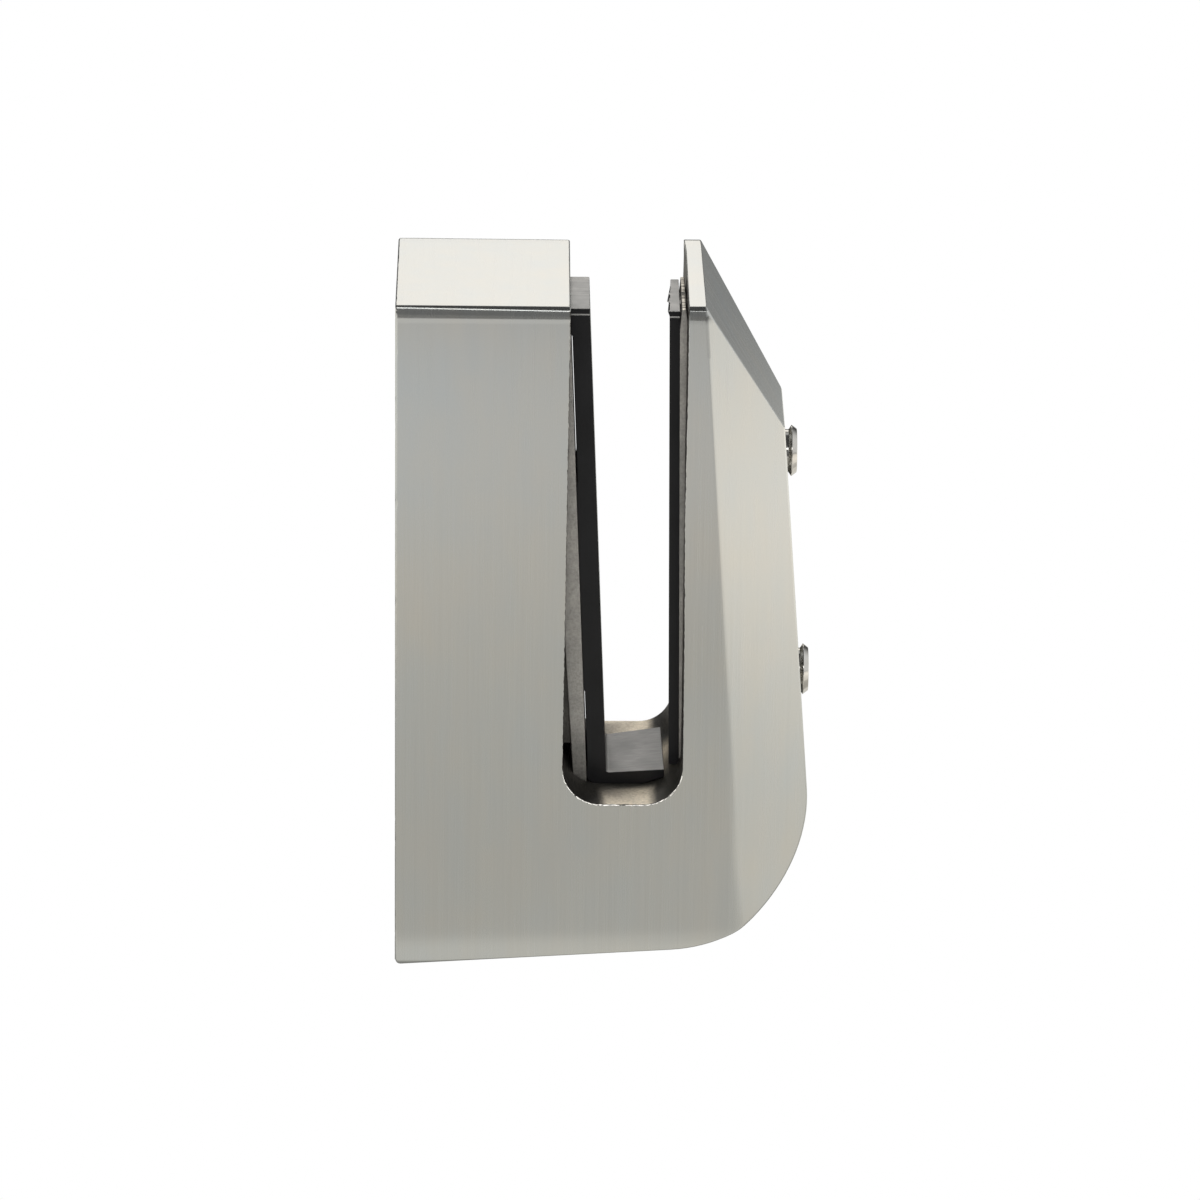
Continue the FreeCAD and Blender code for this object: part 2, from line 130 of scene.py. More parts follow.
# Both sides of the nose are ground back to a leaning flat; towards the base the linishing belt
# blends that flat into the side, so the line between them starts crisp and ends soft.
flat_lean = math.tan(math.radians(3.7))
blend_start = 12 * MM
blend_reach = 1.9 * MM
blend_flats = 6
for side in (-1, 1):
    nose_corner = Vector((nose_tip, side * half_width, cast_top))
    down = Vector((flat_lean, 0, -1)).normalized()
    inward = Vector((chamfer_reach, -side * chamfer_width, 0))
    side_normal = Vector((0, side, 0))
    flat_normal = inward.cross(down) * side
    flat_normal.normalize()
    grind_flat(casting_shape, nose_corner, flat_normal)
    turn = side_normal.angle(flat_normal)
    blend_radius = blend_reach / math.tan(turn / 2)
    blend_apex = nose_corner + down * blend_start
    blend_foot = nose_corner + down * (cast_top - cast_bottom)
    middle_normal = (side_normal + flat_normal).normalized()
    blend_centre = blend_foot - middle_normal * (blend_radius / math.cos(turn / 2))
    for step in range(1, blend_flats):
        normal = side_normal.slerp(flat_normal, step / blend_flats)
        touch = blend_centre + normal * blend_radius
        facing = (touch - blend_apex).cross(down.cross(normal))
        facing.normalize()
        grind_flat(casting_shape, blend_apex, facing if facing.dot(normal) > 0 else -facing)

# Edges are broken by hand: widest at the wall's foot, narrow along the near top edge, and never quite
# even, so the long edges are divided first for the burr on the slot's rim and the nicks at the wall.
edge_round = 0.5 * MM
top_round = 0.2 * MM
block_top_round = 0.45 * MM
wall_round = 0.6 * MM
rim_round = 0.24 * MM
low_rim_round = 0.36 * MM
foot_round = 1.7 * MM
far_round = 0.85 * MM
side_band = 1.8 * MM
rim_step = 0.6 * MM


def divide(bar, edges, step):
    for edge in edges:
        pieces = round(edge.calc_length() / step)
        if pieces > 1:
            bmesh.ops.subdivide_edges(bar, edges=[edge], cuts=pieces - 1)


def edges_where(bar, test):
    return [edge for edge in sharp_edges(bar, 20) if all(test(vert.co) for vert in edge.verts)]


touching = 0.01 * MM
margin = 0.1 * MM


def on_top(place):
    return place.z > cast_top - touching


def on_wall(place):
    return place.x < touching


def on_side(place):
    return abs(abs(place.y) - half_width) < touching


def in_slot(place):
    return (slot_rear_foot - margin < place.x < slot_front + margin
            and slot_floor - margin < place.z < cast_top + margin)


def near_slot(place):
    """In the slot or on its broken rim."""
    return (slot_rear_foot - edge_round < place.x < slot_front + 1.1 * edge_round
            and slot_floor - 1.1 * edge_round < place.z < cast_top)


def at_wall_foot(place):
    return on_wall(place) and place.z < cast_bottom + touching


wall_step = 2 * rim_step
top_step = 4 * MM
rim_edges = edges_where(casting_shape, lambda place: on_side(place) and in_slot(place))
divide(casting_shape, rim_edges, rim_step)
divide(casting_shape, edges_where(casting_shape, on_wall), wall_step)
top_edges = edges_where(casting_shape, lambda place: on_side(place) and on_top(place))
divide(casting_shape, top_edges, top_step)
round_share = casting_shape.edges.layers.float.new("bevel_weight_edge")
for edge in sharp_edges(casting_shape, 20):
    ends = [vert.co for vert in edge.verts]
    radius = edge_round
    if all(map(at_wall_foot, ends)):
        radius = foot_round
    elif all(map(on_top, ends)):
        near_front = all(on_side(place) and place.y < 0 for place in ends)
        radius = top_round if near_front or ends[0].x > slot_front - MM else block_top_round
    elif all(map(on_wall, ends)):
        radius = wall_round if ends[0].y < 0 else far_round
    elif all(on_side(place) and in_slot(place) for place in ends):
        radius = low_rim_round if ends[0].z < slot_floor + 0.8 * slot_corner else rim_round
        on_block = ends[0].x < block_depth + margin and ends[0].z > slot_floor + slot_corner
        if ends[0].y > 0 and on_block:
            radius = far_round
    edge[round_share] = radius / foot_round


def shape_to_object(name, shape):
    mesh = bpy.data.meshes.new(name)
    shape.to_mesh(mesh)
    shape.free()
    mesh.shade_smooth()
    piece = bpy.data.objects.new(name, mesh)
    bpy.context.scene.collection.objects.link(piece)
    return piece


def settle(piece):
    """Turn what the piece's modifiers make of it into its own mesh."""
    graph = bpy.context.evaluated_depsgraph_get()
    result = bpy.data.meshes.new_from_object(piece.evaluated_get(graph))
    piece.modifiers.clear()
    old_mesh = piece.data
    piece.data = result
    bpy.data.meshes.remove(old_mesh)


casting = shape_to_object("casting", casting_shape)
broken_edges = casting.modifiers.new("broken edges", "BEVEL")
broken_edges.limit_method = "WEIGHT"
broken_edges.width = foot_round
broken_edges.segments = 5
broken_edges.profile = 0.5
broken_edges.use_clamp_overlap = False
settle(casting)


def work_with(piece, tool_shape, operation):
    """Take the tool's shape out of the piece, or join it on, and drop the tool."""
    tool = shape_to_object("tool", tool_shape)
    step = piece.modifiers.new("step", "BOOLEAN")
    step.operation = operation
    step.solver = "EXACT"
    step.object = tool
    settle(piece)
    bpy.data.objects.remove(tool)


def drill(radius, start, end, level, sides=72):
    """A round or six-sided cutter along X between two stations, at one level."""
    shape = bmesh.new()
    place = Matrix.Translation(((start + end) / 2, 0, level)) @ Matrix.Rotation(math.pi / 2, 4, "Y")
    bmesh.ops.create_cone(shape, cap_ends=True, segments=sides, radius1=radius, radius2=radius,
                          depth=end - start, matrix=place)
    return shape


lean_angle = math.radians(2.4)
liner_lean = math.tan(lean_angle)
liner_heel = slot_rear_foot + 5.95 * MM
plate_span = 4.0 * MM / math.cos(lean_angle)
rebate_half_width = 12.3 * MM
rebate_top = cast_top - 6.7 * MM


def liner_back(level):
    """Station of the liner's leaning back at a level."""
    return liner_heel - (level - slot_floor) * liner_lean


rebate_mouth = block_depth + 5 * MM
land_root = block_depth - 5 * MM
land_half_width = 11.0 * MM
backing_low, backing_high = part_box("rear_backing_plate")
toe_bevel_start = backing_low.z + 32 * MM
toe_bevel = 0.7 * MM
seat_line = [
    (liner_back(rebate_top) - plate_span, rebate_top),
    (liner_back(toe_bevel_start) - plate_span, toe_bevel_start),
    (liner_back(backing_low.z) - plate_span + toe_bevel, backing_low.z),
    (liner_back(slot_floor) - plate_span + toe_bevel, slot_floor),
]
land_foot = -42.3 * MM
land_line = seat_line[:2] + [(liner_back(land_foot) - plate_span + 0.8 * toe_bevel, land_foot)]
work_with(casting, bar_from_outline([(land_root, land_foot), (land_root, rebate_top)] + land_line,
                                    land_half_width), "UNION")
work_with(casting, bar_from_outline(seat_line + [(rebate_mouth, slot_floor), (rebate_mouth, rebate_top)],
                                    rebate_half_width), "DIFFERENCE")
screw_level = 27.5 * MM
back_wall = 9.0 * MM
pocket_half_width = 10.0 * MM
pocket_shape = bar_from_outline([
    (back_wall, -screw_level - pocket_half_width),
    (back_wall, screw_level + pocket_half_width),
    (liner_heel, screw_level + pocket_half_width),
    (liner_heel, -screw_level - pocket_half_width),
], pocket_half_width)
pocket_ends = [edge for edge in pocket_shape.edges if abs(edge.verts[0].co.x - edge.verts[1].co.x) > MM]
round_edges(pocket_shape, pocket_ends, pocket_half_width * 0.998, 16)
work_with(casting, pocket_shape, "DIFFERENCE")
bolt_radius = 5.5 * MM
bore_radius = 5.05 * MM
seat_radius = 6.5 * MM
seat_sink = 2.4 * MM
spare = 4 * MM
for level in (screw_level, -screw_level):
    end_face = shoulder + (shoulder_level - level) * end_lean
    work_with(casting, drill(bolt_radius, -spare, back_wall + spare, level), "DIFFERENCE")
    work_with(casting, drill(bore_radius, slot_front - spare, end_face, level), "DIFFERENCE")
    work_with(casting, drill(seat_radius, end_face - seat_sink, end_face + spare, level), "DIFFERENCE")

casting_shape = bmesh.new()
casting_shape.from_mesh(casting.data)

# Linishing rolls the sides off towards the top edge, which ends in a narrow leaning facet that grows
# from the wall to the slot, and more widely towards the underside.
top_roll = 3.0 * MM
roll_slope = math.tan(math.radians(19))
facet_at_wall = 0.26 * MM
facet_at_slot = 0.66 * MM
facet_slope = math.tan(math.radians(42))
glint = 0.32 * MM
glint_slope = math.tan(math.radians(26))
nose_roll = 4.2 * MM
nose_facet = 0.85 * MM
nose_glint = 0.09 * MM
nose_roll_slope = math.tan(math.radians(13))
rear_facet = 1.2 * MM
rear_facet_slope = math.tan(math.radians(7))
top_tilt = 0.2 * MM
under_roll = 9.0 * MM
under_roll_drop = 0.40 * MM
roll_lines = 6
under_normal = Vector((-underside_rise, 0, 1)).normalized()
wall_foot = Vector((0, 0, cast_bottom))


def on_block_top(place):
    return place.x < slot_front - 5 * MM and place.z > cast_top - 2 * top_roll


def on_nose_top(place):
    return place.x > slot_front - MM and place.z > cast_top - 2 * top_roll


for depth in (top_roll, nose_roll):
    score_line(casting_shape, (0, 0, cast_top - depth), (0, 0, 1))
for depth in (0.87 * rear_facet, rear_facet):
    score_line(casting_shape, (0, half_width - depth, 0), (0, 1, 0),
               lambda place: on_top(place) and abs(place.y) < MM)
for line in range(roll_lines):
    share = line / roll_lines
    under_depth = under_roll * (line + 1) / roll_lines
    score_line(casting_shape, wall_foot + under_normal * under_depth, under_normal)
    at_nose = (nose_facet + nose_glint) * (1 - share) + nose_roll * share
    score_line(casting_shape, (0, 0, cast_top - at_nose), (0, 0, 1), on_nose_top)
    at_wall = (facet_at_wall + glint) * (1 - share) + top_roll * share
    at_slot = (facet_at_slot + glint) * (1 - share) + top_roll * share
    score_line(casting_shape, (0, 0, cast_top - at_wall), (at_slot - at_wall, 0, block_depth), on_block_top)
score_line(casting_shape, (0, 0, cast_top - nose_facet), (0, 0, 1), on_nose_top)
score_line(casting_shape, (0, 0, cast_top - facet_at_wall),
           (facet_at_slot - facet_at_wall, 0, block_depth), on_block_top)


def share_of(value, start, end):
    """0 at the start of a stretch, 1 at its end and even between them."""
    return min(max((value - start) / (end - start), 0), 1)


def top_inset(place, wander):
    """How far linishing has set the side back at a place near the top."""
    if place.x > slot_front - MM:
        facet, line, roll, slope = nose_facet, nose_glint, nose_roll, nose_roll_slope
    else:
        facet = facet_at_wall + (facet_at_slot - facet_at_wall) * place.x / block_depth
        line, roll, slope = glint, top_roll, roll_slope
    below = cast_top - place.z
    share = share_of(below, roll, facet + line)
    share += wander * share * (1 - share)
    inset = (roll - facet - line) * share ** 2 / 2 * slope
    inset += min(max(facet + line - below, 0), line) * glint_slope
    return inset + max(facet - below, 0) * facet_slope


far_start = 12.6 * MM
far_reach = 9.0 * MM
far_rise = 1.2 * MM
far_close = 1.8 * MM
far_lines = 4
for line in range(far_lines):
    score_line(casting_shape, (0, far_start + far_reach * line / (far_lines - 1), 0), (0, 1, 0))
for station in (-16 * MM, -12.5 * MM, 6 * MM):
    score_line(casting_shape, (0, station, 0), (0, 1, 0),
               lambda place: near_slot(place) and place.z < slot_floor + slot_corner)


def in_bolt_hole(place):
    return math.hypot(place.y, abs(place.z) - screw_level) < bolt_radius + MM


# The tip is a little skewed, the slot closes and rises at its far end, and its near rim bows and is torn.
# The tears on the rim and the nicks at the wall keep one fixed pattern.
tear_pattern = 11
fractal.seed_set(tear_pattern)
tip_skew = 0.45 * MM
skew_start = 13 * MM
close_top = 20 * MM
close_foot = -30 * MM
close_rear = 55 * MM
rim_bow = 0.3 * MM
bow_level = 20 * MM
bow_length = 24 * MM
low_tear = 0.14 * MM
rim_tear = 0.12 * MM
proud_limit = 0.02 * MM
nick_width = 0.10 * MM
nick_height = 0.14 * MM
for vert in casting_shape.verts:
    place = vert.co.copy()
    if place.x > slot_front - MM and place.z > shoulder_level:
        share = (place.z - shoulder_level) / (cast_top - shoulder_level)
        reach = (place.y + half_width) / (2 * half_width)
        if place.x < slot_front + MM:
            reach = share_of(place.y, skew_start, half_width) ** 2
        vert.co.x -= tip_skew * share * reach
    if near_slot(place) and place.y > far_start:
        share = share_of(place.y, far_start, far_start + far_reach)
        share *= share * (3 - 2 * share)
        low = share_of(place.z, close_top, close_foot)
        rightward = share_of(place.x, close_rear, slot_front)
        floorward = share_of(place.z, slot_floor + slot_corner, slot_floor)
        vert.co.x -= far_close * share * low * rightward
        vert.co.z += far_rise * share * floorward
for vert in casting_shape.verts:
    place = vert.co.copy()
    wander = fractal.noise_vector(place * 1500)
    slow_wander = fractal.noise(Vector((place.x * 90, place.y * 20, 0)))
    if abs(place.y) > half_width - side_band:
        above_foot = min((place - wall_foot).dot(under_normal) / under_roll, 1)
        drop = top_inset(place, slow_wander) if place.y < 0 else 0
        drop += under_roll_drop * (1 - above_foot) ** 2
        vert.co.y -= math.copysign(drop, place.y)
    if place.y > half_width - rear_facet and place.z > cast_top - 0.5 * block_top_round:
        vert.co.z -= rear_facet_slope * (place.y - half_width + rear_facet)
    if on_block_top(place):
        vert.co.z -= top_tilt * place.x / block_depth * (1 - (cast_top - place.z) / (2 * top_roll))
    if place.y < 1.05 * low_rim_round - half_width and near_slot(place) and place.z < cast_top - top_roll:
        vert.co += wander * (low_tear if place.z < slot_floor + slot_corner else rim_tear)
        vert.co.y = max(vert.co.y, proud_limit - half_width)
        if place.x > slot_front - MM:
            vert.co.x -= rim_bow * math.exp(-((place.z - bow_level) / bow_length) ** 2)
    if place.x < 1.05 * wall_round and not in_bolt_hole(place):
        vert.co.x += max(wander.x - 0.1, 0) ** 2 * MM
        vert.co.y -= math.copysign(abs(wander.y) * nick_width, place.y)
        vert.co.z -= math.copysign(abs(wander.z) * nick_height, place.z)
casting_shape.to_mesh(casting.data)
casting_shape.free()


def feed(tree, node, inputs):
    """Fill a shader node's inputs, each with a value or another node's output."""
    for name, value in inputs.items():
        if isinstance(value, bpy.types.NodeSocket):
            tree.links.new(value, node.inputs[name])
        else:
            node.inputs[name].default_value = value


def add_node(tree, kind, inputs=None, **settings):
    added = tree.nodes.new(kind)
    for name, value in settings.items():
        setattr(added, name, value)
    feed(tree, added, inputs or {})
    return added


def math_node(tree, operation, first, second=0.0, third=0.0):
    return add_node(tree, "ShaderNodeMath", {0: first, 1: second, 2: third}, operation=operation).outputs[0]


def remap(tree, value, low, high, new_low, new_high):
    mapped = add_node(tree, "ShaderNodeMapRange", {"Value": value, "From Min": low, "From Max": high,
                                                   "To Min": new_low, "To Max": new_high})
    return mapped.outputs["Result"]


def blend_colours(tree, factor, first, second):
    mixed = add_node(tree, "ShaderNodeMix", {0: factor, 6: first, 7: second}, data_type="RGBA")
    return mixed.outputs[2]


def noise(tree, vector, scale, detail=2.0, roughness=0.5, distortion=0.0):
    made = add_node(tree, "ShaderNodeTexNoise", {"Vector": vector, "Scale": scale, "Detail": detail,
                                                 "Roughness": roughness, "Distortion": distortion})
    return made.outputs["Fac"]


def object_coordinates(tree):
    return add_node(tree, "ShaderNodeTexCoord").outputs["Object"]


def stretched(tree, place, scale):
    return add_node(tree, "ShaderNodeMapping", {"Vector": place, "Scale": scale}).outputs[0]


def shade(tree, colour, factor):
    return add_node(tree, "ShaderNodeVectorMath", {0: colour, 1: factor}, operation="MULTIPLY").outputs[0]


def relief(tree, height, strength, depth, normal=None):
    """The surface's normal with a pattern standing out from it."""
    bump = add_node(tree, "ShaderNodeBump", {"Height": height, "Strength": strength, "Distance": depth})
    if normal is not None:
        feed(tree, bump, {"Normal": normal})
    return bump.outputs["Normal"]


def new_pattern(name, place, scale, result):
    """A node group that makes a pattern; gives the group, its two inputs and its end."""
    group = bpy.data.node_groups.new(name, "ShaderNodeTree")
    group.interface.new_socket(place, in_out="INPUT", socket_type="NodeSocketVector")
    group.interface.new_socket(scale, in_out="INPUT", socket_type="NodeSocketFloat")
    group.interface.new_socket(result, in_out="OUTPUT", socket_type="NodeSocketFloat")
    given = add_node(group, "NodeGroupInput").outputs
    return group, given[place], given[scale], add_node(group, "NodeGroupOutput")


# Linished grain: long fine scratches that follow the belt, in two widths laid over each other
grain_group, belt_place, streak_scale, grain_end = new_pattern(
    "linished_grain", "Across and along", "Streaks per metre", "Streak")
drawn_out = stretched(grain_group, belt_place, (1, 0.007, 1))
fine_scratch = noise(grain_group, drawn_out, streak_scale, 3.0, 0.6)
coarse_scale = math_node(grain_group, "MULTIPLY", streak_scale, 0.22)
coarse_scratch = noise(grain_group, drawn_out, coarse_scale, 2.0, 0.5)
fine_part = math_node(grain_group, "MULTIPLY", fine_scratch, 0.6)
both_scratches = math_node(grain_group, "MULTIPLY_ADD", coarse_scratch, 0.4, fine_part)
feed(grain_group, grain_end, {"Streak": both_scratches})

# Slow tone: the cloudy change of colour and polish that handling and heat leave on a surface
tone_group, cloud_place, cloud_scale, tone_end = new_pattern(
    "slow_tone", "Place", "Clouds per metre", "Tone")
clouds = noise(tone_group, cloud_place, cloud_scale, 3.0, 0.55)
feed(tone_group, tone_end, {"Tone": remap(tone_group, clouds, 0.3, 0.7, 0.0, 1.0)})


def use_pattern(tree, group, place, scale):
    return add_node(tree, "ShaderNodeGroup", {0: place, 1: scale}, node_tree=group).outputs[0]


def new_material(name):
    """An empty node material; gives the tree and its surface shader."""
    material = bpy.data.materials.new(name)
    material.use_nodes = True
    tree = material.node_tree
    return material, tree, tree.nodes["Principled BSDF"]


GRAIN_MAP = "grain"
linished, tree, shader = new_material("linished_stainless")
grain_place = add_node(tree, "ShaderNodeUVMap", uv_map=GRAIN_MAP).outputs["UV"]
object_place = object_coordinates(tree)
streak = use_pattern(tree, grain_group, grain_place, 4500)
tone = use_pattern(tree, tone_group, stretched(tree, object_place, (0.5, 0.5, 1)), 26)
smear = use_pattern(tree, tone_group, stretched(tree, object_place, (1, 1, 0.3)), 170)
tone = math_node(tree, "MULTIPLY_ADD", smear, 0.4, math_node(tree, "MULTIPLY", tone, 0.6))
steel_colour = blend_colours(tree, tone, (0.592, 0.611, 0.607, 1), (0.650, 0.627, 0.575, 1))
streak_lift = add_node(tree, "ShaderNodeCombineXYZ", {"Z": remap(tree, streak, 0.3, 0.7, -0.007, 0.007)})
surface_normal = add_node(tree, "ShaderNodeNewGeometry").outputs["Normal"]
leaning = add_node(tree, "ShaderNodeVectorMath", {0: surface_normal, 1: streak_lift.outputs[0]},
                   operation="ADD")
leaning = add_node(tree, "ShaderNodeVectorMath", {0: leaning.outputs[0]}, operation="NORMALIZE")
belt_direction = add_node(tree, "ShaderNodeTangent", direction_type="UV_MAP", uv_map=GRAIN_MAP)
feed(tree, shader, {
    "Base Color": shade(tree, steel_colour, remap(tree, streak, 0.35, 0.65, 0.96, 1.02)),
    "Metallic": 1.0,
    "Roughness": remap(tree, streak, 0.3, 0.7, 0.22, 0.29),
    "Anisotropic": 0.85,
    "Tangent": belt_direction.outputs["Tangent"],
    "Normal": relief(tree, streak, 0.10, 0.05 * MM, leaning.outputs[0]),
})

# Cast skin: dull dark metal on the walls, darker than the skin alone as painted shade for the slot's deep
# corners, and matt with dust and scale on the floor
SCALE_AND_LIGHT = "scale_and_light_share"
cast_skin, tree, shader = new_material("cast_skin")
object_place = object_coordinates(tree)
scale_and_light_share = add_node(tree, "ShaderNodeAttribute", attribute_name=SCALE_AND_LIGHT).outputs["Fac"]
grit = noise(tree, object_place, 1400, 4.0, 0.65)
tone = use_pattern(tree, tone_group, object_place, 90)
wall_colour = blend_colours(tree, tone, (0.12, 0.116, 0.108, 1), (0.25, 0.235, 0.21, 1))
scale_colour = blend_colours(tree, tone, (0.445, 0.39, 0.305, 1), (0.63, 0.56, 0.45, 1))
skin_colour = blend_colours(tree, scale_and_light_share, wall_colour, scale_colour)
feed(tree, shader, {
    "Base Color": shade(tree, skin_colour, remap(tree, grit, 0.3, 0.7, 0.6, 1.1)),
    "Metallic": remap(tree, scale_and_light_share, 0.0, 1.0, 0.95, 0.3),
    "Roughness": remap(tree, grit, 0.3, 0.7, 0.38, 0.58),
    "Normal": relief(tree, grit, 0.6, 0.15 * MM),
})

# Burr: the torn lip that linishing drags over the slot's rim. Its forward-facing bevel carries a painted
# highlight broken into patches, near black between as dark scale and painted shade
burr_glint_steel, tree, shader = new_material("burr_stainless_painted_glint")
object_place = object_coordinates(tree)
torn = noise(tree, object_place, 600, 4.0, 0.65)
surface_normal = add_node(tree, "ShaderNodeNewGeometry").outputs["Normal"]
facing = add_node(tree, "ShaderNodeSeparateXYZ", {0: surface_normal})
front_glint = remap(tree, facing.outputs["Y"], -0.52, -0.70, 0.0, 1.0)
bright_share = math_node(tree, "MULTIPLY", front_glint, remap(tree, torn, 0.36, 0.54, 0.0, 1.0))
feed(tree, shader, {
    "Base Color": blend_colours(tree, bright_share, (0.03, 0.028, 0.025, 1), (0.95, 0.93, 0.89, 1)),
    "Metallic": 0.25,
    "Roughness": remap(tree, torn, 0.3, 0.7, 0.5, 0.25),
})

# The linishing belt ran upright on the sides, the nose and the back, and across the block on its top;
# the grain map holds each place's metres across the belt and along it.
finish_shape = bmesh.new()
finish_shape.from_mesh(casting.data)
bmesh.ops.remove_doubles(finish_shape, verts=finish_shape.verts, dist=0.002 * MM)
grain_map = finish_shape.loops.layers.uv.new(GRAIN_MAP)
scale_and_light_layer = finish_shape.verts.layers.float.new(SCALE_AND_LIGHT)
scale_inset = 1.5 * MM
under_pad_light_spread = 6.5 * MM
scale_fade = 2 * MM
scale_height = 7 * MM
shade_reach = 7 * MM
# The floor's scale colour fades into the dark wall skin at the corners. Under the pad it reaches further
# towards the front wall as painted light, where the floor lies in shade. Just in front of the liner's foot
# it gives way to the dark skin as a painted shadow.
for vert in finish_shape.verts:
    place = vert.co
    lit_under_pad = share_of(place.y, -16 * MM, -12 * MM) * share_of(place.y, 13 * MM, 7 * MM)
    from_rear = place.x - slot_rear_foot - scale_inset
    from_front = slot_front - place.x + scale_inset + under_pad_light_spread * lit_under_pad
    from_corner = min(from_rear, from_front) - slot_corner
    near_floor = abs(place.z - slot_floor) < scale_height
    before_foot = place.y < 0 and from_front > shade_reach
    shaded = share_of(place.y, -17 * MM, -12.5 * MM) if before_foot else 0
    vert[scale_and_light_layer] = share_of(from_corner, -scale_fade, 0) * near_floor * (1 - shaded)
for face in finish_shape.faces:
    middle = face.calc_center_median()
    below_top = middle.z < cast_top - MM
    low_down = middle.z < slot_floor + 0.8 * slot_corner
    lip = low_rim_round if low_down else rim_round
    inside = abs(middle.y) < half_width - (0.9 if low_down else 0.35) * lip
    in_core = abs(middle.y) < rebate_half_width + margin and margin < middle.x < block_depth
    upright = abs(face.normal.y) > 0.6
    face.material_index = 1 if below_top and (in_core or (in_slot(middle) and inside)) else 0
    # The lower near rim's bevel takes the burr finish with its painted highlight.
    on_rim = middle.y < lip - half_width and near_slot(middle) and low_down
    if on_rim and -0.97 < face.normal.y < -0.05:
        face.material_index = 2
    for loop in face.loops:
        place = loop.vert.co
        if upright:
            across, along = place.x, place.z
        elif face.normal.z > 0.8:
            across, along = place.x, place.y
        else:
            across, along = place.y, place.z
        loop[grain_map].uv = (across, along)
finish_shape.to_mesh(casting.data)
finish_shape.free()


def smooth_shading(piece, angle):
    """Shade round, but keep edges sharper than the angle crisp; broad flats hold their own normals."""
    piece.data.shade_smooth()
    piece.data.set_sharp_from_angle(angle=math.radians(angle))
    weighted = piece.modifiers.new("flat faces stay flat", "WEIGHTED_NORMAL")
    weighted.keep_sharp = True
    weighted.weight = 80


def dress(piece, materials, body, node):
    """Give the piece its finish, the body it rides on and the plain solid it stands in for."""
    for material in materials:
        piece.data.materials.append(material)
    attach(piece, body)
    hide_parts(node)


smooth_shading(casting, 35)
for edge in casting.data.edges:
    levels = [casting.data.vertices[index].co.z for index in edge.vertices]
    if all(abs(level - cast_top + nose_facet) < 0.005 * MM for level in levels):
        edge.use_edge_sharp = True
dress(casting, [linished, cast_skin, burr_glint_steel], "spigot", "spigot_body")

# Rear backing plate: a flat bar of raw stainless laid in the casting's rebate over the bolt pocket.
# It leans with the liner that it carries, and its toe is bevelled to clear the slot's round corner.
bar_steel, tree, shader = new_material("raw_bar_stainless")
object_place = object_coordinates(tree)
grit = noise(tree, object_place, 1800, 4.0, 0.6)
tone = use_pattern(tree, tone_group, object_place, 120)
bar_colour = blend_colours(tree, tone, (0.28, 0.275, 0.26, 1), (0.40, 0.385, 0.36, 1))
# Speckled by its grit, and darker towards the slot's floor as painted shade.
height = add_node(tree, "ShaderNodeSeparateXYZ", {0: object_place}).outputs["Z"]
grit_and_low_shade = math_node(tree, "MULTIPLY", remap(tree, grit, 0.3, 0.7, 0.7, 1.12),
                  remap(tree, height, slot_floor, slot_floor + 16 * MM, 0.35, 1.0))
feed(tree, shader, {
    "Base Color": shade(tree, bar_colour, grit_and_low_shade),
    "Metallic": 0.55,
    "Roughness": remap(tree, grit, 0.3, 0.7, 0.45, 0.6),
    "Normal": relief(tree, grit, 0.45, 0.1 * MM),
})

bar_round = 0.25 * MM
toe_cut = 2.0 * MM
toe = slot_floor + 0.1 * MM
backing_shape = bar_from_outline([
    (liner_back(backing_high.z) - plate_span, backing_high.z),
    (liner_back(backing_high.z), backing_high.z),
    (liner_back(toe), toe),
    (liner_back(toe) - plate_span + toe_bevel, toe + toe_cut),
    (liner_back(toe_bevel_start) - plate_span, toe_bevel_start),
], backing_high.y)
round_edges(backing_shape, sharp_edges(backing_shape, 30), bar_round, 2)
backing = shape_to_object("rear_backing_bar", backing_shape)
smooth_shading(backing, 50)
dress(backing, [bar_steel], "spigot", "rear_backing_plate")

# Glass liner: an upright leg behind the glass and a foot under its edge, moulded as one L in black
# rubber. It leans on the backing plate and stands on the slot's floor.
rubber, tree, shader = new_material("moulded_black_rubber")
object_place = object_coordinates(tree)
pores = noise(tree, object_place, 2600, 3.0, 0.6)
tone = use_pattern(tree, tone_group, object_place, 70)
feed(tree, shader, {
    "Base Color": blend_colours(tree, tone, (0.003, 0.003, 0.0035, 1), (0.006, 0.006, 0.007, 1)),
    "Roughness": remap(tree, pores, 0.3, 0.7, 0.28, 0.42),
    "IOR": 1.38,
    "Normal": relief(tree, pores, 0.12, 0.05 * MM),
})

# Grey for the knife-cut ends, and painted light from above as well, since every face that looks up takes
# it, the moulded foot top too.
cut_and_toplit_rubber, tree, shader = new_material("cut_black_rubber_toplit")
object_place = object_coordinates(tree)
knife_marks = noise(tree, stretched(tree, object_place, (0.05, 1, 1)), 2400, 2.0, 0.5)
tone = use_pattern(tree, tone_group, object_place, 150)
toplit_cut_colour = blend_colours(tree, tone, (0.140, 0.140, 0.138, 1), (0.225, 0.222, 0.216, 1))
marked = shade(tree, toplit_cut_colour, remap(tree, knife_marks, 0.3, 0.7, 0.6, 1.3))
# Darker lower down, towards the slot's floor, as painted shade.
height = add_node(tree, "ShaderNodeSeparateXYZ", {0: object_place}).outputs["Z"]
feed(tree, shader, {
    "Base Color": shade(tree, marked, remap(tree, height, slot_floor, cast_top, 0.62, 0.87)),
    "Roughness": remap(tree, knife_marks, 0.3, 0.7, 0.30, 0.5),
    "Normal": relief(tree, knife_marks, 0.3, 0.06 * MM),
})

